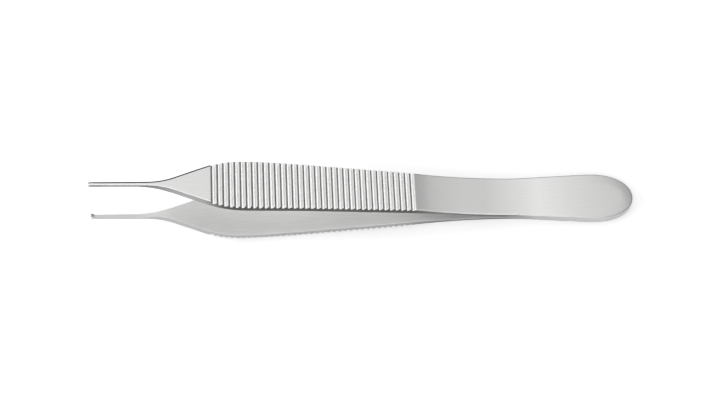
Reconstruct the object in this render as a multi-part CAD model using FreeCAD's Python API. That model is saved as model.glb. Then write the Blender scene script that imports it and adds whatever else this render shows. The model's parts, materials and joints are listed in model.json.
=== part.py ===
import FreeCAD, Part
import math
import os

from FreeCAD import Vector

# Thumb forceps of the fine tissue kind: a slender nose with one tooth biting between
# two, a broad ribbed grip for the thumb, and a leaf spring for a handle.
#
# Two arms are pressed from steel strip and welded back to back at the heel. Each arm
# leaves the weld as a flat leaf, bends outwards, runs out straight, and bows back
# until it is level with its mate. The grip is left thick for its grooves, and the
# nose is ground thin from the inside.
#
# The arms are drawn about the plane where they meet: a station is a distance from the
# heel end towards the tips, a height is measured from that plane, and a width lies
# across. The finished pair is then laid down as it comes to rest, with the tips
# pointing to -X.

# Lengths along the arm, from the heel to the tips, in millimetres
weld_length = 14.0
leaf_length = 13.2
ramp_length = 10.0
grip_length = 40.6
flare_length = 10.9
nose_length = 15.6

# Outline seen from above. An arc share of 1 makes a taper all arcs, and less leaves a straight run
heel_width = 11.0
heel_round_length = 8.6
heel_fullness = 0.58
heel_taper_length = 19.5
heel_arc_share = 0.4
waist_width = 9.15
waist_length = 17.5
swell_arc_share = 0.5
grip_width = 11.35
shoulder_setback = 2.6
shoulder_radius = 23.7
throat_radius = 17.0
nose_root_width = 1.0
nose_tip_width = 0.86
nose_corner_radius = 0.33

# Side view, with angles in degrees
leaf_angle = 0.5
spring_radius = 105.0
splay_angle = 6.6
bow_setback = 9.7
bow_radius = 230.0
handle_thickness = 1.15
leaf_thickness = 0.95
leaf_thinning_length = 9.0
leaf_thinning_radius = 100.0
grip_thickness = 1.95
nose_thickness = 0.72
ramp_foot_radius = 90.0
ramp_head_radius = 12.0
relief_length = 5.2
relief_overrun = 1.7
relief_radius = 12.0

# Rounding of the outer face: a bevel along the rim, and a wider slope beside the grooves
rim_bevel = 0.3
slope_width = 0.8
slope_angle = 30.0

# Grooves across the grip, cut down to a web of even thickness
groove_field_length = 44.4
groove_pitch = 1.232
groove_width = 0.84
groove_root_width = 0.1
groove_web = 0.95
crest_land = 0.26
crest_bevel_depth = 0.1

# Teeth at the tips
tooth_height = 0.6
tooth_length = 0.9
tooth_land = 0.12
tooth_clearance = 0.03

# How far a cutting shape reaches past what it cuts
overshoot = 2.0

# Stations and heights that follow from the sizes
splay = math.radians(splay_angle)
leaf_lean = math.radians(leaf_angle)
spring_reach = spring_radius * math.tan((splay - leaf_lean) / 2)
ramp_turn = math.atan((grip_thickness - leaf_thickness) / ramp_length)
ramp_reach = ramp_foot_radius * math.tan(ramp_turn / 2)
leaf_run = leaf_length + spring_reach
spring_station = weld_length + leaf_run * math.cos(leaf_lean)
spring_height = leaf_run * math.sin(leaf_lean)
run_to_grip = spring_reach + ramp_reach + ramp_length
grip_start = spring_station + run_to_grip * math.cos(splay)
grip_end = grip_start + grip_length
flare_end = grip_end + flare_length
relief_end = flare_end + relief_overrun
overall_length = flare_end + nose_length
bow_station = grip_end - bow_setback
bow_height = spring_height + (bow_station - spring_station) * math.tan(splay)
nose_outer_height = bow_height + grip_thickness
nose_inner_height = nose_outer_height - nose_thickness


def side(station, height):
    """A point of the side view."""
    return Vector(-station, 0, height)


def above(station, width):
    """A point of the view from above."""
    return Vector(-station, width, 0)


def line(start, end):
    return Part.LineSegment(start, end).toShape()


def bezier(*poles):
    curve = Part.BezierCurve()
    curve.setPoles(list(poles))
    return curve.toShape()


def rounded_path(*corners):
    """Straight runs through (point, radius) corners, joined by tangent arcs."""
    edges = []
    start = corners[0][0]
    for index in range(1, len(corners) - 1):
        corner, radius = corners[index]
        before = (corner - corners[index - 1][0]).normalize()
        after = (corners[index + 1][0] - corner).normalize()
        turn = before.getAngle(after)
        reach = radius * math.tan(turn / 2)
        arc_start = corner - before * reach
        arc_end = corner + after * reach
        if start.distanceToPoint(arc_start) > 1e-6:
            edges.append(line(start, arc_start))
        if radius > 0:
            inwards = (after - before).normalize()
            sagitta = radius / math.cos(turn / 2) - radius
            middle = corner + inwards * sagitta
            edges.append(Part.Arc(arc_start, middle, arc_end).toShape())
        start = arc_end
    edges.append(line(start, corners[-1][0]))
    return edges


def offset_point(station, height, lean, offset):
    """The point that lies this far outside a face of the given lean."""
    return side(station - offset * math.sin(lean), height + offset * math.cos(lean))


def offset_corner(station, height, lean_before, lean_after, offset):
    """The corner of a path that runs parallel to another one, outside its corner."""
    middle = (lean_before + lean_after) / 2
    stretch = math.cos((lean_after - lean_before) / 2)
    return offset_point(station, height, middle, offset / stretch)


def inner_path():
    """Weld face, spring bend, bow and thinned nose, from the heel to the tip."""
    return rounded_path(
        (side(0, 0), 0),
        (side(weld_length, 0), 0),
        (side(spring_station, spring_height), spring_radius),
        (side(bow_station, bow_height), bow_radius),
        (side(relief_end - relief_length, bow_height), relief_radius),
        (side(relief_end, nose_inner_height), relief_radius),
        (side(overall_length, nose_inner_height), 0),
    )


def outer_path():
    """The face that the fingers press, from the heel to the tip."""
    heel = handle_thickness
    leaf = leaf_thickness
    thick = grip_thickness
    thinned_station = weld_length + leaf_thinning_length
    thinned_height = leaf_thinning_length * math.tan(leaf_lean)
    ramp_foot = spring_reach + ramp_reach
    foot_station = spring_station + ramp_foot * math.cos(splay)
    foot_height = spring_height + ramp_foot * math.sin(splay)
    head_height = spring_height + run_to_grip * math.sin(splay)
    return rounded_path(
        (side(0, heel), 0),
        (offset_corner(weld_length, 0, 0, leaf_lean, heel), leaf_thinning_radius),
        (offset_point(thinned_station, thinned_height, leaf_lean, leaf), leaf_thinning_radius),
        (offset_corner(spring_station, spring_height, leaf_lean, splay, leaf), spring_radius - leaf),
        (offset_point(foot_station, foot_height, splay, leaf), ramp_foot_radius),
        (offset_point(grip_start, head_height, splay, thick), ramp_head_radius),
        (offset_corner(bow_station, bow_height, splay, 0, thick), bow_radius + thick),
        (side(overall_length, nose_outer_height), 0),
    )


def side_slab():
    """The side view of an arm, drawn out across the full width."""
    inner = inner_path()
    outer = outer_path()
    heel = line(inner[0].Vertexes[0].Point, outer[0].Vertexes[0].Point)
    tip = line(side(overall_length, nose_inner_height), side(overall_length, nose_outer_height))
    face = Part.Face(Part.Wire(Part.__sortEdges__(inner + outer + [heel, tip])))
    face.translate(Vector(0, -grip_width, 0))
    return face.extrude(Vector(0, 2 * grip_width, 0))


def ogee(start, end, arc_share):
    """Two equal arcs that step from one width to another, level at both ends."""
    length = start.x - end.x
    step = abs(end.y - start.y)
    if step < 1e-6:
        return [line(start, end)]
    radius = arc_share * (length ** 2 + step ** 2) / (4 * step)
    rise = step - 2 * radius
    turn = math.atan2(rise, length) + math.asin(2 * radius / math.hypot(length, rise))

    def along_arc(angle):
        across = math.copysign(radius * (1 - math.cos(angle)), end.y - start.y)
        return Vector(-radius * math.sin(angle), across, 0)

    first_end = start + along_arc(turn)
    second_start = end - along_arc(turn)
    return [
        Part.Arc(start, start + along_arc(turn / 2), first_end).toShape(),
        line(first_end, second_start),
        Part.Arc(second_start, end - along_arc(turn / 2), end).toShape(),
    ]


def half_outline():
    """One side of the outline from above, from the heel end to the middle of the tip."""
    heel = heel_width / 2
    waist = waist_width / 2
    grip = grip_width / 2
    taper_end = heel_round_length + heel_taper_length
    waist_end = taper_end + waist_length
    shoulder = grip_end - shoulder_setback
    flare_angle = math.atan((grip_width - nose_root_width) / 2 / (flare_end - shoulder))
    swell_end = shoulder - shoulder_radius * math.tan(flare_angle / 2)
    round_end = bezier(
        above(0, 0),
        above(0, heel * heel_fullness),
        above(heel_round_length * (1 - heel_fullness), heel),
        above(heel_round_length, heel),
    )
    flare_and_nose = rounded_path(
        (above(swell_end, grip), 0),
        (above(shoulder, grip), shoulder_radius),
        (above(flare_end, nose_root_width / 2), throat_radius),
        (above(overall_length, nose_tip_width / 2), nose_corner_radius),
        (above(overall_length, 0), 0),
    )
    return [
        round_end,
        *ogee(above(heel_round_length, heel), above(taper_end, waist), heel_arc_share),
        line(above(taper_end, waist), above(waist_end, waist)),
        *ogee(above(waist_end, waist), above(swell_end, grip), swell_arc_share),
        *flare_and_nose,
    ]


def outline_block():
    """The outline from above, drawn through the full height of an arm."""
    near = half_outline()
    far = [edge.mirror(Vector(0, 0, 0), Vector(0, 1, 0)) for edge in near]
    face = Part.Face(Part.Wire(Part.__sortEdges__(near + far)))
    face.translate(Vector(0, 0, -overshoot))
    return face.extrude(Vector(0, 0, nose_outer_height + 2 * overshoot))


def face_rise(face, point):
    """How far a face looks upwards at a point: 0 for a wall, 1 for a level face."""
    u, v = face.Surface.parameter(point)
    return face.normalAt(u, v).z


def is_rim(solid, edge):
    """True for an edge where the outer face meets a side wall."""
    middle = edge.valueAt((edge.FirstParameter + edge.LastParameter) / 2)
    rises = sorted(face_rise(face, middle) for face in solid.ancestorsOfType(edge, Part.Face))
    return abs(rises[0]) < 0.01 and rises[-1] > 0.5


def bevel_rim(solid):
    """Bevel the outer rim all the way round."""
    return solid.makeChamfer(rim_bevel, [edge for edge in solid.Edges if is_rim(solid, edge)])


def slope_cutter():
    """All that lies above a face that falls away sideways from the flat of the grip."""
    fall = math.tan(math.radians(slope_angle))
    reach = slope_width + overshoot
    ceiling = nose_outer_height + reach * fall + overshoot
    outer = [edge for edge in outer_path() if edge.BoundBox.XMax < -spring_station]
    first = outer[0].Vertexes[0].Point
    last = side(overall_length, nose_outer_height)
    last_above = side(overall_length, ceiling)
    first_above = Vector(first.x, 0, ceiling)
    frame = [line(last, last_above), line(last_above, first_above), line(first_above, first)]
    face = Part.Face(Part.Wire(Part.__sortEdges__(outer + frame)))
    face.translate(Vector(0, grip_width / 2 - slope_width, 0))
    return face.extrude(Vector(0, reach, -reach * fall))


def slope_sides(solid):
    """Let the outer face fall away to both sides, where the arm is as wide as the grip."""
    cutter = slope_cutter()
    return solid.cut([cutter, cutter.mirror(Vector(0, 0, 0), Vector(0, 1, 0))])


def groove_cutter(inner, station):
    """One V groove with flared lips, square to the inner face at this station."""
    upright = line(side(station, -overshoot), side(station, nose_outer_height))
    for edge in inner:
        distance, points, places = edge.distToShape(upright)
        if distance < 1e-7:
            foot = points[0][0]
            along = edge.tangentAt(places[0][2])
    lean = math.degrees(math.atan2(along.z, -along.x))
    mouth = (groove_pitch - crest_land) / 2
    lip = groove_width / 2
    root = groove_root_width / 2
    lip_height = grip_thickness - crest_bevel_depth
    section = Part.makePolygon([
        Vector(-mouth, 0, grip_thickness + overshoot),
        Vector(-mouth, 0, grip_thickness),
        Vector(-lip, 0, lip_height),
        Vector(-root, 0, groove_web),
        Vector(root, 0, groove_web),
        Vector(lip, 0, lip_height),
        Vector(mouth, 0, grip_thickness),
        Vector(mouth, 0, grip_thickness + overshoot),
        Vector(-mouth, 0, grip_thickness + overshoot),
    ])
    cutter = Part.Face(section).extrude(Vector(0, 2 * grip_width, 0))
    cutter.translate(Vector(0, -grip_width, 0))
    cutter.rotate(Vector(0, 0, 0), Vector(0, 1, 0), lean)
    cutter.translate(foot)
    return cutter


def cut_grooves(solid):
    """Cut as many grooves as the field has room for, starting at its tip end."""
    inner = inner_path()
    count = int((groove_field_length - groove_pitch) / groove_pitch + 1.5)
    first = grip_end - groove_pitch / 2
    return solid.cut([groove_cutter(inner, first - number * groove_pitch) for number in range(count)])


def arm_blank():
    """An arm without its teeth."""
    blank = side_slab().common(outline_block()).Solids[0]
    return cut_grooves(slope_sides(bevel_rim(blank))).Solids[0]


def claw():
    """The raised end that the teeth are ground from, square at the tip and sloped behind."""
    root = nose_inner_height + nose_thickness / 2
    crest = nose_inner_height - tooth_height
    edges = Part.makePolygon([
        side(overall_length, root),
        side(overall_length, crest),
        side(overall_length - tooth_land, crest),
        side(overall_length - tooth_length, nose_inner_height),
        side(overall_length - tooth_length, root),
        side(overall_length, root),
    ])
    solid = Part.Face(edges).extrude(Vector(0, nose_tip_width, 0))
    solid.translate(Vector(0, -nose_tip_width / 2, 0))
    return solid.common(outline_block())


def tooth_wedge(growth):
    """The single tooth seen from the front, grown on every side by a clearance."""
    top = nose_inner_height
    bottom = nose_inner_height - tooth_height - growth
    base = nose_tip_width / 2 - tooth_land + growth
    edge = tooth_land / 2 + growth
    station = overall_length + overshoot
    corners = [(base, top), (edge, bottom), (-edge, bottom), (-base, top)]
    points = [Vector(-station, width, height) for width, height in corners]
    face = Part.Face(Part.makePolygon(points + points[:1]))
    return face.extrude(Vector(overshoot + tooth_length + overshoot, 0, 0))


def upper_teeth():
    """One tooth in the middle of the tip."""
    return claw().common(tooth_wedge(0))


def lower_teeth():
    """Two teeth with a notch between them that takes the single tooth."""
    notch = tooth_wedge(tooth_clearance)
    middle = Vector(0, 0, nose_inner_height - tooth_height / 2)
    notch.rotate(middle, Vector(1, 0, 0), 180)
    root = claw().common(side_slab())
    return claw().cut(notch).fuse(root)


def rest_lean():
    """The lean of the line that touches the heel bevel and the bow of an arm from outside."""
    bow_outer_radius = bow_radius + grip_thickness
    bow_end = bow_station + bow_radius * math.tan(splay / 2)
    along = bow_end - rim_bevel
    rise = (bow_height - bow_radius) - handle_thickness
    return math.atan2(rise, along) + math.asin(bow_outer_radius / math.hypot(along, rise))


def lay_down(arms):
    """Lay the pair on the lower arm's heel and grip, centred over the origin."""
    lean = rest_lean()
    drop = handle_thickness * math.cos(lean) - rim_bevel * math.sin(lean)
    for arm in arms:
        arm.rotate(Vector(0, 0, 0), Vector(0, 1, 0), math.degrees(lean))
        arm.translate(Vector(0, 0, drop))
    box = Part.Compound(arms).optimalBoundingBox(False)
    for arm in arms:
        arm.translate(Vector(-box.Center.x, 0, 0))


def main():
    blank = arm_blank()
    upper_arm = blank.fuse(upper_teeth()).removeSplitter()
    lower_arm = blank.fuse(lower_teeth()).removeSplitter().mirror(Vector(0, 0, 0), Vector(0, 0, 1))
    lay_down([upper_arm, lower_arm])
    os.makedirs("parts", exist_ok=True)
    upper_arm.exportStep("parts/upper_arm.step")
    lower_arm.exportStep("parts/lower_arm.step")
    for name, arm in (("upper arm", upper_arm), ("lower arm", lower_arm)):
        print(f"{name}: {len(arm.Solids)} solid, valid {arm.isValid()}, {arm.Volume:.1f} cubic mm")


main()
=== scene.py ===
import json
import math

import bmesh
import bpy
import numpy as np
from mathutils import Matrix, Vector


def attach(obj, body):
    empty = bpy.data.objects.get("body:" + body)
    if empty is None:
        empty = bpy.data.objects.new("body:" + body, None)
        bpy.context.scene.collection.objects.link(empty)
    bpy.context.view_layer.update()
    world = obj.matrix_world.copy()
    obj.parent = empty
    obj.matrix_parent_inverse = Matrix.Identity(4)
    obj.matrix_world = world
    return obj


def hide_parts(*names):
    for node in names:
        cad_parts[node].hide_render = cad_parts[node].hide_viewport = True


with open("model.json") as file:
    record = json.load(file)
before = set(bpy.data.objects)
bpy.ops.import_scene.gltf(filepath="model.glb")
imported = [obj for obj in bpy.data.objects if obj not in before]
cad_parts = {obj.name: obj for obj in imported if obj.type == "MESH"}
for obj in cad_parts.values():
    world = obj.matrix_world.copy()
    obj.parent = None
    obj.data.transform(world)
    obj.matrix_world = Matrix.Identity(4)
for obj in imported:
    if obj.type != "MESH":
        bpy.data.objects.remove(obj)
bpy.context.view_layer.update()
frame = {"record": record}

# The flat blank of an arm
# Both arms are pressed from the same strip of spring steel: thin at the handle, left
# thick at the grip for its grooves, and ground thin at the nose from the inside. It is
# drawn flat in millimetres: station from the heel, width, height above the inner face.
handle_thickness = 1.15
leaf_thickness = 0.95
leaf_thinning_length = 9.0
leaf_thinning_radius = 100.0
grip_thickness = 1.95
nose_thickness = 0.72
weld_length = 14.0
leaf_length = 13.2
ramp_length = 10.0
grip_length = 40.6
flare_length = 10.9
nose_length = 15.6
leaf_lean = math.radians(0.5)
splay = math.radians(6.6)
spring_radius = 105.0
ramp_foot_radius = 90.0
ramp_head_radius = 12.0
bow_setback = 9.7
bow_radius = 230.0
relief_length = 6.2
relief_overrun = 4.8
relief_radius = 12.0

spring_reach = spring_radius * math.tan((splay - leaf_lean) / 2)
leaf_run = leaf_length + spring_reach
spring_station = weld_length + leaf_run * math.cos(leaf_lean)
spring_height = leaf_run * math.sin(leaf_lean)
ramp_turn = math.atan((grip_thickness - leaf_thickness) / ramp_length)
ramp_reach = ramp_foot_radius * math.tan(ramp_turn / 2)
ramp_start = spring_station + (spring_reach + ramp_reach) * math.cos(splay)
grip_start = ramp_start + ramp_length * math.cos(splay)
grip_end = grip_start + grip_length
flare_end = grip_end + flare_length
tip_end = flare_end + nose_length
bow_station = grip_end - bow_setback
bow_height = spring_height + (bow_station - spring_station) * math.tan(splay)


def rounded_line(corners, step=0.1):
    """Straight runs through (station, value, radius) corners joined by arcs, as two arrays."""
    points = [np.array(corners[0][:2])]
    for before, corner, after in zip(corners, corners[1:], corners[2:]):
        place = np.array(corner[:2])
        first = place - np.array(before[:2])
        second = np.array(after[:2]) - place
        first = first / np.hypot(*first)
        second = second / np.hypot(*second)
        cross = first[0] * second[1] - first[1] * second[0]
        turn = math.atan2(abs(cross), first @ second)
        aside = np.array([-first[1], first[0]]) * math.copysign(1, cross)
        radius = corner[2]
        start = place - first * radius * math.tan(turn / 2)
        for angle in np.linspace(0, turn, max(2, int(radius * turn / step) + 2)):
            points.append(start + radius * (math.sin(angle) * first + (1 - math.cos(angle)) * aside))
    points.append(np.array(corners[-1][:2]))
    stations, values = np.array(points).T
    return stations, values


outer_line = rounded_line([
    (-1, handle_thickness, 0),
    (weld_length, handle_thickness, leaf_thinning_radius),
    (weld_length + leaf_thinning_length, leaf_thickness, leaf_thinning_radius),
    (ramp_start, leaf_thickness, ramp_foot_radius),
    (grip_start, grip_thickness, ramp_head_radius),
    (tip_end + 1, grip_thickness, 0),
])
inner_line = rounded_line([
    (-1, 0, 0),
    (flare_end + relief_overrun - relief_length, 0, relief_radius),
    (flare_end + relief_overrun, grip_thickness - nose_thickness, relief_radius),
    (tip_end + 1, grip_thickness - nose_thickness, 0),
])

# Its outline from above, from the heel end along one side to the tip
heel_half = 5.5
heel_round_length = 8.6
heel_fullness = 0.58
heel_taper_length = 19.5
heel_arc_share = 0.4
waist_half = 4.575
waist_length = 17.5
swell_arc_share = 0.5
grip_half = 5.675
shoulder_setback = 2.6
shoulder_radius = 23.7
throat_radius = 17.0
nose_root_half = 0.5
nose_tip_half = 0.43
nose_corner_radius = 0.33


def ogee(start, end, arc_share):
    """The two corners of a step from one width to another that is level at both ends."""
    length = end[0] - start[0]
    step = abs(end[1] - start[1])
    radius = arc_share * (length ** 2 + step ** 2) / (4 * step)
    rise = step - 2 * radius
    turn = math.atan2(rise, length) + math.asin(2 * radius / math.hypot(length, rise))
    reach = radius * math.tan(turn / 2)
    return [(start[0] + reach, start[1], radius), (end[0] - reach, end[1], radius)]


shoulder = grip_end - shoulder_setback
flare_turn = math.atan((grip_half - nose_root_half) / (flare_end - shoulder))
swell_end = shoulder - shoulder_radius * math.tan(flare_turn / 2)
taper_end = heel_round_length + heel_taper_length
waist_end = taper_end + waist_length
side_line = rounded_line([
    (heel_round_length, heel_half, 0),
    *ogee((heel_round_length, heel_half), (taper_end, waist_half), heel_arc_share),
    *ogee((waist_end, waist_half), (swell_end, grip_half), swell_arc_share),
    (shoulder, grip_half, shoulder_radius),
    (flare_end, nose_root_half, throat_radius),
    (tip_end, nose_tip_half, 0),
])

# The rows of its mesh keep step with the grooves that are cut later
groove_pitch = 1.241
groove_count = 36
rows_per_groove = 20
field_overrun = 0.38
heel_rows = 49
handle_row_step = 0.6
nose_row_step = 0.3
corner_rows = 9
corner_clearance = 0.1
field_end = grip_end + field_overrun
field_start = field_end - groove_count * groove_pitch
first_groove = field_end - groove_pitch / 2

heel_poles = np.array([
    (0, 0),
    (0, heel_half * heel_fullness),
    (heel_round_length * (1 - heel_fullness), heel_half),
    (heel_round_length, heel_half),
])


def heel_curve(count):
    """Points round the heel end, from its middle to where it is widest."""
    along = np.linspace(0, 1, count)[:, None]
    return sum(math.comb(3, k) * along ** k * (1 - along) ** (3 - k) * heel_poles[k] for k in range(4))


corner_start = tip_end - nose_corner_radius
body_stations = np.concatenate([
    np.arange(heel_round_length + handle_row_step, field_start - handle_row_step / 2, handle_row_step),
    np.linspace(field_start, field_end, groove_count * rows_per_groove + 1),
    np.arange(field_end + nose_row_step, corner_start - corner_clearance, nose_row_step),
])
corner_turn = np.radians(np.linspace(0, 90, corner_rows))
rows = np.concatenate([
    heel_curve(heel_rows),
    np.stack([body_stations, np.interp(body_stations, *side_line)], axis=1),
    np.stack([
        tip_end - nose_corner_radius * (1 - np.sin(corner_turn)),
        nose_tip_half - nose_corner_radius * (1 - np.cos(corner_turn)),
    ], axis=1),
    [(tip_end, 0)],
])
station, half = rows[:, 0:1], rows[:, 1:2]
heading = np.arctan2(np.gradient(rows[:, 1]), np.gradient(rows[:, 0]))[:, None]
at_an_end = (station <= heel_round_length) | (station > corner_start)

# The rows of each end fan out from one point on the middle line
heel_fan_length = 3.0
tip_fan_length = 0.45
middle = np.clip(station, heel_fan_length, tip_end - tip_fan_length)

# Rounded rims and a fine margin inside them, all narrower on the nose
widest_rim_radius = 0.3
rim_share = 0.7
widest_inner_rim_radius = 0.12
inner_rim_share = 0.2
widest_margin = 1.2
margin_shares = (0.95, 0.76)
line_widths = (0.1, 0.02)
tip_run = (tip_end - 1.5, tip_end - 0.5)
full_half = np.where(station < heel_round_length, heel_half, np.maximum(half, nose_tip_half))
rim_radius = np.minimum(widest_rim_radius, rim_share * full_half)
inner_rim_radius = np.minimum(widest_inner_rim_radius, inner_rim_share * full_half)
line_width = np.interp(station, tip_run, line_widths)
margin = np.minimum(widest_margin, np.interp(station, tip_run, margin_shares) * full_half)

# The outer face is sloped beside the grooves, and hammered down softly round the heel end
slope_width = 0.8
slope_fall = 0.46
heel_ring_width = 2.6
heel_ring_fall = 0.13
heel_ring_ease = 0.5
heel_ring_end = 10.0
heel_edge_length = 20
heel_edge_points = 1200
slope_start = grip_half - slope_width
heel_edge = np.concatenate([heel_curve(heel_edge_points), np.stack(side_line, axis=1)])
heel_edge = heel_edge[heel_edge[:, 0] < heel_edge_length]


def outer_height(along, across):
    """Height of the outer face above the inner face of the flat blank."""
    beside = np.maximum(np.abs(across) - slope_start, 0) / (grip_half - slope_start)
    inset = np.hypot(along - heel_edge[:, 0], across - heel_edge[:, 1]).min(axis=1, keepdims=True)
    into_ring = np.maximum(heel_ring_width - inset, 0)
    eased = into_ring ** 2 / (into_ring + heel_ring_ease)
    heel_share = np.clip(1 - along / heel_ring_end, 0, 1)
    side_fall = slope_fall * beside ** 2 * (along > spring_station)
    return np.interp(along, *outer_line) - side_fall - heel_ring_fall * eased * heel_share


def on_inner_face(along, across):
    """Height of the inner face, which is hollowed only at the nose."""
    return np.interp(along, *inner_line) + 0 * across


section = []


def add_column(inset, share, lift, rise=0):
    """One run of points along the blank, at a share of the way from the middle to an inset edge."""
    edge_along = station + np.where(at_an_end, inset * np.sin(heading), 0)
    edge_across = np.maximum(half - inset * np.where(at_an_end, np.cos(heading), 1 / np.cos(heading)), 0)
    along = middle + (edge_along - middle) * share
    across = edge_across * share
    section.append((along, across, lift(along, across) + rise))


for share in (0, 0.25, 0.5, 0.75, 1):
    add_column(inner_rim_radius, share, on_inner_face)
for angle in np.radians((30, 60, 90)):
    add_column(
        inner_rim_radius * (1 - math.sin(angle)), 1, on_inner_face,
        inner_rim_radius * (1 - math.cos(angle)),
    )
wall_first = len(section) - 1
wall_foot = on_inner_face(station, half) + inner_rim_radius
wall_head = outer_height(station, half) - rim_radius
for share in np.arange(1, 8) / 8:
    add_column(0, 1, lambda along, across: wall_foot + (wall_head - wall_foot) * share)
# The first two rim columns join the walls and take their painted shade
rim_columns_in_painted_shade = 2
wall_last = len(section) + rim_columns_in_painted_shade
for angle in np.radians(np.arange(0, 91, 15)):
    add_column(
        rim_radius * (1 - math.cos(angle)), 1, outer_height, -rim_radius * (1 - math.sin(angle)),
    )
rim_last = len(section) - 1
line_inset = rim_radius + line_width
for share in np.arange(0, 8) / 7:
    add_column(line_inset + (margin - rim_radius - line_width) * share, 1, outer_height)
for share in (0.9, 0.8, 0.7, 0.6, 0.45, 0.3, 0.15, 0):
    add_column(margin, share, outer_height)

right_half = np.stack([np.concatenate(column, axis=1) for column in section], axis=1)
left_half = right_half[:, -2:0:-1] * (1, -1, 1)
loop = np.concatenate([right_half, left_half], axis=1)
row_count, column_count = loop.shape[:2]
numbers = np.arange(row_count * column_count).reshape(row_count, column_count)
after = np.roll(numbers, -1, axis=1)
quads = np.stack([numbers[:-1], after[:-1], after[1:], numbers[1:]], axis=-1).reshape(-1, 4)

# Each face keeps the number of its region for the finishes and their painted light and shade
inner_region, wall_region, rim_region, line_region, outer_region = range(5)
column = np.minimum(np.arange(column_count), column_count - 1 - np.arange(column_count))
region = np.select(
    [column < wall_first, column < wall_last, column < rim_last, column == rim_last],
    [inner_region, wall_region, rim_region, line_region], outer_region,
)

blank = bpy.data.meshes.new("arm_blank")
blank.from_pydata(loop.reshape(-1, 3).tolist(), [], quads.tolist())
blank.attributes.new("region", "INT", "FACE").data.foreach_set("value", np.tile(region, row_count - 1))

# Steel finishes, with painted light and shade
# The handle, flare and inner faces are satin, brushed along the arm, with painted highlight and shade along
# it.
# In the grooves the polished root and the crests are painted pale as highlights and one flank dark as
# shade, and the pressed edges are painted dark as shade, with lengthwise grinding lines.
tone_reach = 60
warmth = 0.993
line_stretch = 25
line_detail = 3
line_strength = 0.4
grain_range = (0.3, 0.7)
tint_range = (0.95, 1.05)
dull_range = (0.85, 1.15)


def steel(name, tones, metallic, roughness, lines, line_depth, edge_tint=1):
    """Brushed steel with lines along the arm; tones are (place along X, brightness) pairs, painted light
    and shade along it.
    """
    material = bpy.data.materials.new(name)
    material.use_nodes = True
    nodes, links = material.node_tree.nodes, material.node_tree.links

    def remap(source, before, after):
        node = nodes.new("ShaderNodeMapRange")
        links.new(source, node.inputs["Value"])
        for limit, value in zip(("From Min", "From Max", "To Min", "To Max"), before + after):
            node.inputs[limit].default_value = value
        return node.outputs["Result"]

    shader = nodes["Principled BSDF"]
    shader.inputs["Metallic"].default_value = metallic
    shader.inputs["Specular Tint"].default_value = (edge_tint, edge_tint, edge_tint, 1)
    place = nodes.new("ShaderNodeTexCoord")
    stretch = nodes.new("ShaderNodeMapping")
    stretch.inputs["Scale"].default_value = (lines / line_stretch, lines, lines)
    links.new(place.outputs["Object"], stretch.inputs["Vector"])
    grain = nodes.new("ShaderNodeTexNoise")
    grain.inputs["Scale"].default_value = 1
    grain.inputs["Detail"].default_value = line_detail
    links.new(stretch.outputs["Vector"], grain.inputs["Vector"])
    apart = nodes.new("ShaderNodeSeparateXYZ")
    links.new(place.outputs["Object"], apart.inputs[0])
    ramp = nodes.new("ShaderNodeValToRGB")
    stops = ramp.color_ramp.elements
    while len(stops) < len(tones):
        stops.new(0.5)
    for stop, (along, tone) in zip(stops, tones):
        stop.position = (along + tone_reach) / (2 * tone_reach)
        stop.color = (tone, tone, tone * warmth, 1)
    whole_arm = (-tone_reach / 1000, tone_reach / 1000)
    links.new(remap(apart.outputs["X"], whole_arm, (0, 1)), ramp.inputs["Fac"])
    paint = nodes.new("ShaderNodeVectorMath")
    paint.operation = "SCALE"
    links.new(ramp.outputs["Color"], paint.inputs[0])
    links.new(remap(grain.outputs["Fac"], grain_range, tint_range), paint.inputs["Scale"])
    links.new(paint.outputs["Vector"], shader.inputs["Base Color"])
    dull = remap(grain.outputs["Fac"], grain_range, tuple(roughness * share for share in dull_range))
    links.new(dull, shader.inputs["Roughness"])
    bump = nodes.new("ShaderNodeBump")
    bump.inputs["Strength"].default_value = line_strength
    bump.inputs["Distance"].default_value = line_depth
    links.new(grain.outputs["Fac"], bump.inputs["Height"])
    links.new(bump.outputs["Normal"], shader.inputs["Normal"])
    return material


# Tone of the outer face along X: painted shade at the head of the ramp and a painted highlight band near
# the heel
painted_face_tones = [
    (-60, 0.74), (-34, 0.68), (10, 0.53), (15, 0.7), (27, 0.61), (33, 0.68), (39, 0.77),
    (46, 0.69), (60, 0.57),
]
# Tone of the inner faces along X, painted darker towards the heel as shade where the arms close together
painted_inside_tones = [
    (-60, 0.65), (-42, 0.68), (-36, 0.68), (-28, 0.75), (-15, 0.8), (8, 0.8), (20, 0.62), (60, 0.6),
]
# Tone of the near rims, painted pale as a highlight, less towards the heel
painted_rim_highlight_tones = [(-60, 0.86), (42, 0.86), (56, 0.7), (60, 0.66)]
painted_wall_shade_tones = [
    # Tone of the upper arm's walls, painted dark as shade: darkest along the grip, lighter at the flare and
    # the heel
    (-60, 0.08), (-47, 0.16), (-41, 0.3), (-38, 0.34), (-34, 0.3), (-30, 0.06), (10, 0.06),
    (16, 0.17), (31, 0.14), (38, 0.5), (60, 0.6),
]
# Tone of the lower arm's walls, painted grey as shade, darkest where the arms close near the heel
painted_lower_wall_tones = [(-60, 0.44), (-30, 0.44), (8, 0.4), (16, 0.17), (31, 0.14), (38, 0.5), (60, 0.6)]


def even(tone):
    """The same brightness all along the arm."""
    return [(-tone_reach, tone), (tone_reach, tone)]


satin_face_painted = steel("satin_face_painted", painted_face_tones, 1, 0.36, 5000, 3e-6)
satin_inside_painted_shade = steel("satin_inside_painted_shade", painted_inside_tones, 0.3, 0.5, 4000, 3e-6)
rim_painted_highlight = steel("rim_painted_highlight", painted_rim_highlight_tones, 0.5, 0.32, 3000, 5e-7)
# A near-white matt copy, painted highlight on the crests and upper flanks of the grooves
crests_painted_highlight = steel("crests_painted_highlight", even(0.98), 0, 0.5, 2500, 5e-7)
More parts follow.
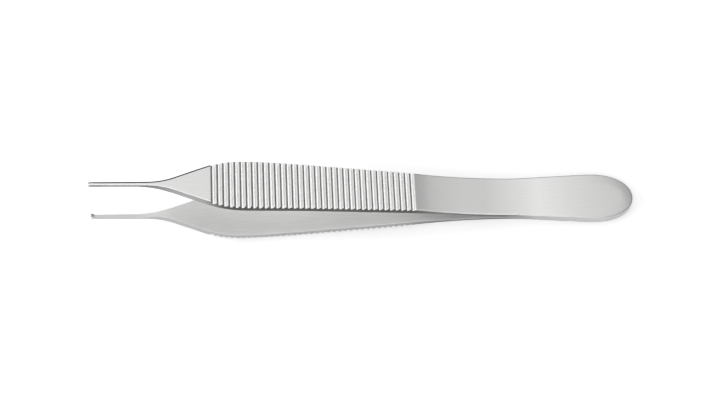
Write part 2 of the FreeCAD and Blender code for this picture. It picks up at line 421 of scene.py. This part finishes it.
# A near-white polished copy, painted highlight at the roots of the grooves
polished_roots_painted_highlight = steel("polished_roots_painted_highlight", even(0.95), 1, 0.25, 2500, 2e-7)
# A dark copy, painted shade on one flank of each groove
flanks_painted_shade = steel("flanks_painted_shade", even(0.2), 1, 0.35, 2500, 5e-7)
# A near-black copy with its reflection tinted dark, painted shade on the far rim and the ends of the ridges
edge_painted_deep_shade = steel("edge_painted_deep_shade", even(0.04), 1, 0.35, 6000, 2e-6, 0.05)
upper_walls_painted_shade = steel("upper_walls_painted_shade", painted_wall_shade_tones, 1, 0.3, 6000, 4e-6)
lower_walls_painted_shade = steel("lower_walls_painted_shade", painted_lower_wall_tones, 1, 0.35, 6000, 4e-6)

# Grooves across the grip
# The grooves are milled square across the flat blank with a round-nosed cutter, before
# it is bent, down to a web of even thickness, with softened crests between them.
field_reach_share = 0.75
ridge_end_depth = 0.05

# Bands of the painted highlight at the root and the painted shade on one flank, from the root of a groove
# towards the tip
root_band = (-0.17, 0.08)
painted_shade_flank_band = (0.12, 0.47)

tree = bpy.data.node_groups.new("grip_grooves", "GeometryNodeTree")
tree.interface.new_socket("Blank", in_out="INPUT", socket_type="NodeSocketGeometry")
groove_sizes = {
    "First groove": first_groove,
    "Pitch": groove_pitch,
    "Last number": groove_count - 1,
    "Web": 1.15,
    "Cutter half width": 0.64,
    "Cutter bulge": 1.1,
    "Crest rounding": 0.14,
    "Far end": slope_start + 0.2,
    "Near end": -slope_start - 0.52,
    "Weld distance": 0.004,
}
for name, size in groove_sizes.items():
    tree.interface.new_socket(name, in_out="INPUT", socket_type="NodeSocketFloat").default_value = size
tree.interface.new_socket("Arm", in_out="OUTPUT", socket_type="NodeSocketGeometry")
given = tree.nodes.new("NodeGroupInput").outputs


def math_node(operation, *values):
    """A math node fed by numbers or sockets; its result socket comes back."""
    node = tree.nodes.new("ShaderNodeMath")
    node.operation = operation
    for slot, value in zip(node.inputs, values):
        if isinstance(value, (int, float)):
            slot.default_value = value
        else:
            tree.links.new(value, slot)
    return node.outputs[0]


def between(value, low, high):
    """1 where a socket's value lies between two limits, and 0 elsewhere."""
    return math_node("MULTIPLY", math_node("GREATER_THAN", value, low), math_node("LESS_THAN", value, high))


def add_node(kind, **joins):
    """A node of the tree, with sockets joined to its inputs by name."""
    node = tree.nodes.new(kind)
    for socket_name, source in joins.items():
        tree.links.new(source, node.inputs[socket_name])
    return node


where = add_node("ShaderNodeSeparateXYZ", Vector=add_node("GeometryNodeInputPosition").outputs[0]).outputs
passed = math_node("DIVIDE", math_node("SUBTRACT", given["First groove"], where["X"]), given["Pitch"])
not_before_first = math_node("MAXIMUM", math_node("ROUND", passed), 0)
groove_number = math_node("MINIMUM", not_before_first, given["Last number"])
from_first = math_node("MULTIPLY", groove_number, given["Pitch"])
groove_middle = math_node("SUBTRACT", given["First groove"], from_first)
past_root = math_node("SUBTRACT", where["X"], groove_middle)
offside = math_node("ABSOLUTE", past_root)
share_out = math_node("MINIMUM", math_node("DIVIDE", offside, given["Cutter half width"]), 1)
cutter_share = math_node("SQRT", math_node("SUBTRACT", 1, math_node("POWER", share_out, 2)))
cutter_rise = math_node("MULTIPLY", math_node("SUBTRACT", 1, cutter_share), given["Cutter bulge"])
cutter_height = math_node("ADD", given["Web"], cutter_rise)
cut_height = math_node("SMOOTH_MIN", where["Z"], cutter_height, given["Crest rounding"])
in_field = math_node("LESS_THAN", offside, math_node("MULTIPLY", given["Pitch"], field_reach_share))
full_cut = math_node("SUBTRACT", cut_height, where["Z"])
new_height = math_node("ADD", where["Z"], math_node("MULTIPLY", full_cut, in_field))
new_place = add_node("ShaderNodeCombineXYZ", X=where["X"], Y=where["Y"], Z=new_height)
cut = add_node("GeometryNodeSetPosition", Geometry=given["Blank"], Position=new_place.outputs[0])
merged = add_node("GeometryNodeMergeByDistance", Geometry=cut.outputs[0], Distance=given["Weld distance"])
last = add_node("GeometryNodeRealizeInstances", Geometry=merged.outputs[0]).outputs[0]

# The finishes, with their painted highlights and shade, are painted one over another, by region and by the
# place in each groove
region_value = tree.nodes.new("GeometryNodeInputNamedAttribute")
region_value.data_type = "INT"
region_value.inputs["Name"].default_value = "region"
face_region = region_value.outputs["Attribute"]
half_pitch = math_node("MULTIPLY", given["Pitch"], 0.5)
field_edge = math_node("ADD", given["First groove"], half_pitch)
in_a_groove = math_node("LESS_THAN", offside, half_pitch)


def paint_where(geometry, material, selection=None):
    """The geometry with a material on the chosen faces, or on all of them."""
    node = add_node("GeometryNodeSetMaterial", Geometry=geometry)
    node.inputs["Material"].default_value = material
    if selection is not None:
        tree.links.new(selection, node.inputs["Selection"])
    return node.outputs[0]


def is_region(number):
    """1 on the faces of one region."""
    return math_node("COMPARE", face_region, number, 0.1)


last = paint_where(last, satin_face_painted)
last = paint_where(last, satin_inside_painted_shade, is_region(inner_region))
# The walls are painted dark as shade
last = paint_where(last, upper_walls_painted_shade, is_region(wall_region))
far_side = math_node("GREATER_THAN", where["Y"], 0)
near_side = math_node("LESS_THAN", where["Y"], 0)
# Only the near rims are painted pale as a highlight
last = paint_where(last, rim_painted_highlight, math_node("MULTIPLY", near_side, is_region(rim_region)))
beyond_grip = math_node("GREATER_THAN", where["X"], field_edge)
rim_and_line = between(face_region, rim_region - 0.1, line_region + 0.1)
far_rim = math_node("MULTIPLY", math_node("MULTIPLY", beyond_grip, far_side), rim_and_line)
# The far rim of the flare and nose is painted near black as shade
last = paint_where(last, edge_painted_deep_shade, far_rim)
above_walls = math_node("GREATER_THAN", face_region, wall_region + 0.5)
grooved = math_node("MULTIPLY", in_a_groove, above_walls)
# Over the grooves: painted highlight on the crests and roots, painted shade on one flank
last = paint_where(last, crests_painted_highlight, grooved)
last = paint_where(last, polished_roots_painted_highlight, math_node("MULTIPLY", between(past_root, *root_band), grooved))
last = paint_where(last, flanks_painted_shade, math_node("MULTIPLY", between(past_root, *painted_shade_flank_band), grooved))
# The ends of the ridges beside the grooves are painted near black as shade
depth = math_node("SUBTRACT", cutter_height, where["Z"])
above_cut = math_node("GREATER_THAN", depth, ridge_end_depth)
beyond_far = math_node("GREATER_THAN", where["Y"], given["Far end"])
beyond_near = math_node("LESS_THAN", where["Y"], given["Near end"])
ridge_end = math_node("MULTIPLY", math_node("ADD", beyond_far, beyond_near), above_cut)
last = paint_where(last, edge_painted_deep_shade, math_node("MULTIPLY", ridge_end, grooved))
tree.links.new(last, tree.nodes.new("NodeGroupOutput").inputs[0])

flat_arm = bpy.data.objects.new("flat_arm", blank)
bpy.context.scene.collection.objects.link(flat_arm)
grooving = flat_arm.modifiers.new("grooves", "NODES")
grooving.node_group = tree
for item in tree.interface.items_tree:
    if item.in_out == "INPUT" and item.name in groove_sizes:
        grooving[item.identifier] = float(groove_sizes[item.name])
graph = bpy.context.evaluated_depsgraph_get()
cut_blank = bpy.data.meshes.new_from_object(flat_arm.evaluated_get(graph), depsgraph=graph)
bpy.data.objects.remove(flat_arm)

# Teeth at the tips
# One tooth on the upper arm bites between two on the lower arm. They are ground from a
# raised end of the nose, square in front and sloped behind.
tooth_height = 0.6
tooth_length = 0.9
tooth_land = 0.12
tooth_clearance = 0.03
tooth_seat = 0.25
base_setback = 0.06
crest_setback = 0.05
nose_face = grip_thickness - nose_thickness
single_base = nose_tip_half - tooth_land
pair_gap = tooth_land / 2 + tooth_clearance
teeth_of = {
    "upper": [((-single_base, single_base), (-tooth_land / 2, tooth_land / 2))],
    "lower": [
        ((pair_gap, nose_tip_half), (single_base + tooth_clearance, nose_tip_half)),
        ((-nose_tip_half, -pair_gap), (-nose_tip_half, -single_base - tooth_clearance)),
    ],
}


def tooth_mesh(base, crest):
    """One tooth, hulled from its seat in the nose, its foot and its crest."""
    shape = bmesh.new()
    back = tip_end - tooth_length
    for across in base:
        for along in (tip_end - base_setback, back):
            for height in (nose_face, nose_face + tooth_seat):
                shape.verts.new((along, across, height))
    for across in crest:
        for along in (tip_end - crest_setback, tip_end - tooth_land - crest_setback):
            shape.verts.new((along, across, nose_face - tooth_height))
    bmesh.ops.convex_hull(shape, input=shape.verts)
    mesh = bpy.data.meshes.new("tooth")
    shape.to_mesh(mesh)
    shape.free()
    return mesh


# The two arms, bent and welded
# Each blank is bent along one side view: flat weld, leaf, spring bend, straight run and
# bow. The arms are welded with their inner faces together, half way between the two
# mounts of the heel.
weld_crease_radius = 0.001
mount_station = 7.5
crease_angle = math.radians(40)

guide_station, guide_height = rounded_line([
    (-1, 0, 0),
    (weld_length, 0, weld_crease_radius),
    (spring_station, spring_height, spring_radius),
    (bow_station, bow_height, bow_radius),
    (tip_end + 1, bow_height, 0),
])
guide_lean = np.arctan(np.gradient(guide_height, guide_station))
mounts = {mount["name"]: mount for mount in frame["record"]["mounts"]}
outwards = Vector(mounts["upper_heel_flat"]["axis"])
along_arm = Vector((-outwards.z, 0, outwards.x))
weld_middle = (Vector(mounts["upper_heel_flat"]["pos_m"]) + Vector(mounts["lower_heel_flat"]["pos_m"])) / 2
heel_point = weld_middle - along_arm * mount_station / 1000


def bend(mesh, side):
    """Bend a flat mesh along the guide, on the upper (1) or lower (-1) side of the weld."""
    flat = np.empty(len(mesh.vertices) * 3)
    mesh.vertices.foreach_get("co", flat)
    flat = flat.reshape(-1, 3)
    lean = np.interp(flat[:, 0], guide_station, guide_lean)
    run = flat[:, 0] - flat[:, 2] * np.sin(lean)
    height = side * (np.interp(flat[:, 0], guide_station, guide_height) + flat[:, 2] * np.cos(lean))
    place = np.outer(run, along_arm) + np.outer(height, outwards) + np.outer(flat[:, 1], (0, 1, 0))
    mesh.vertices.foreach_set("co", (place / 1000 + np.array(heel_point)).ravel())
    if side > 0:
        mesh.flip_normals()
    mesh.update()


for name, side in (("upper", 1), ("lower", -1)):
    mesh = cut_blank.copy()
    shape = bmesh.new()
    shape.from_mesh(mesh)
    for base, crest in teeth_of[name]:
        tooth = tooth_mesh(base, crest)
        shape.from_mesh(tooth)
        bpy.data.meshes.remove(tooth)
    shape.to_mesh(mesh)
    shape.free()
    bend(mesh, side)
    if name == "lower":
        # The lower arm's walls take the paler painted shade
        mesh.materials[mesh.materials.find("upper_walls_painted_shade")] = lower_walls_painted_shade
    mesh.polygons.foreach_set("use_smooth", [True] * len(mesh.polygons))
    mesh.set_sharp_from_angle(angle=crease_angle)
    arm = bpy.data.objects.new(f"{name}_arm_steel", mesh)
    bpy.context.scene.collection.objects.link(arm)
    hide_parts(f"{name}_arm")
    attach(arm, "root")
bpy.data.meshes.remove(cut_blank)

# Bench top
# A plain matt white sheet, which keeps the soft shadow of the forceps.
bench_size = 0.8
sheet_brightness = 0.85
sheet_glow = 0.4
bench = bmesh.new()
bmesh.ops.create_grid(bench, x_segments=1, y_segments=1, size=bench_size)
bench_mesh = bpy.data.meshes.new("bench_top")
bench.to_mesh(bench_mesh)
bench.free()
floor = bpy.data.objects.new("bench_top", bench_mesh)
bpy.context.scene.collection.objects.link(floor)
sheet = bpy.data.materials.new("white_sheet")
sheet.use_nodes = True
nodes, links = sheet.node_tree.nodes, sheet.node_tree.links
nodes.remove(nodes["Principled BSDF"])
matt = nodes.new("ShaderNodeBsdfDiffuse")
matt.inputs["Color"].default_value = (sheet_brightness, sheet_brightness, sheet_brightness, 1)
glow = nodes.new("ShaderNodeEmission")
seen = nodes.new("ShaderNodeLightPath")
seen_or_mirrored = nodes.new("ShaderNodeMath")
seen_or_mirrored.operation = "ADD"
links.new(seen.outputs["Is Camera Ray"], seen_or_mirrored.inputs[0])
links.new(seen.outputs["Is Glossy Ray"], seen_or_mirrored.inputs[1])
seen_all = nodes.new("ShaderNodeMath")
seen_all.operation = "ADD"
links.new(seen_or_mirrored.outputs[0], seen_all.inputs[0])
links.new(seen.outputs["Is Transmission Ray"], seen_all.inputs[1])
lift = nodes.new("ShaderNodeMath")
lift.operation = "MULTIPLY"
lift.inputs[1].default_value = sheet_glow
links.new(seen_all.outputs[0], lift.inputs[0])
links.new(lift.outputs[0], glow.inputs["Strength"])
together = nodes.new("ShaderNodeAddShader")
links.new(matt.outputs[0], together.inputs[0])
links.new(glow.outputs[0], together.inputs[1])
links.new(together.outputs[0], nodes["Material Output"].inputs["Surface"])
floor.data.materials.append(sheet)

# Soft studio light
# Large panels overhead and behind, to the left and in front; the right stays dim.
aim = Vector((0, 0, 0.008))


def panel(name, azimuth, elevation, distance, width, height, radiance):
    """A soft panel facing the forceps; azimuth 0 is in front (-Y) and 90 to the right (+X)."""
    light = bpy.data.lights.new(name, "AREA")
    light.shape = "RECTANGLE"
    light.size, light.size_y = width, height
    light.energy = radiance * math.pi * width * height
    turn, rise = math.radians(azimuth), math.radians(elevation)
    away = Vector((math.sin(turn) * math.cos(rise), -math.cos(turn) * math.cos(rise), math.sin(rise)))
    lamp = bpy.data.objects.new(name, light)
    lamp.location = aim + away * distance
    lamp.rotation_euler = away.to_track_quat("Z", "Y").to_euler()
    bpy.context.scene.collection.objects.link(lamp)


panel("top_panel", 180, 74, 0.7, 1.0, 0.8, 1.06)
panel("left_panel", -90, 24, 0.6, 0.9, 0.3, 3.2)
panel("front_panel", -5, 42, 0.7, 0.9, 0.35, 1.9)

room_brightness = 0.12
world = bpy.data.worlds.new("studio")
world.use_nodes = True
room = world.node_tree.nodes["Background"].inputs["Color"]
room.default_value = (room_brightness, room_brightness, room_brightness, 1)
bpy.context.scene.world = world

# Camera, at the height and turn from which the forceps are seen
view_azimuth = math.radians(-2.187)
view_elevation = math.radians(62.342)
view_roll = math.radians(-0.447)
view_distance = 0.47342
view_aside = -0.000521
view_up = -0.001128
focal_pixels = 2161.5
frame_width = 720
back = Vector((
    math.sin(view_azimuth) * math.cos(view_elevation),
    -math.cos(view_azimuth) * math.cos(view_elevation),
    math.sin(view_elevation),
))
level = Vector((math.cos(view_azimuth), math.sin(view_azimuth), 0))
upright = back.cross(level)
right = level * math.cos(view_roll) + upright * math.sin(view_roll)
up = upright * math.cos(view_roll) - level * math.sin(view_roll)
looks_at = right * view_aside + up * view_up + aim
camera_data = bpy.data.cameras.new("camera")
camera_data.sensor_width = 36
camera_data.lens = focal_pixels * camera_data.sensor_width / frame_width
camera_data.clip_start = 0.01
camera = bpy.data.objects.new("camera", camera_data)
spot = looks_at + back * view_distance
camera.matrix_world = Matrix((
    (right.x, up.x, back.x, spot.x),
    (right.y, up.y, back.y, spot.y),
    (right.z, up.z, back.z, spot.z),
    (0, 0, 0, 1),
))
bpy.context.scene.collection.objects.link(camera)
bpy.context.scene.camera = camera
bpy.context.scene.view_settings.view_transform = "Standard"
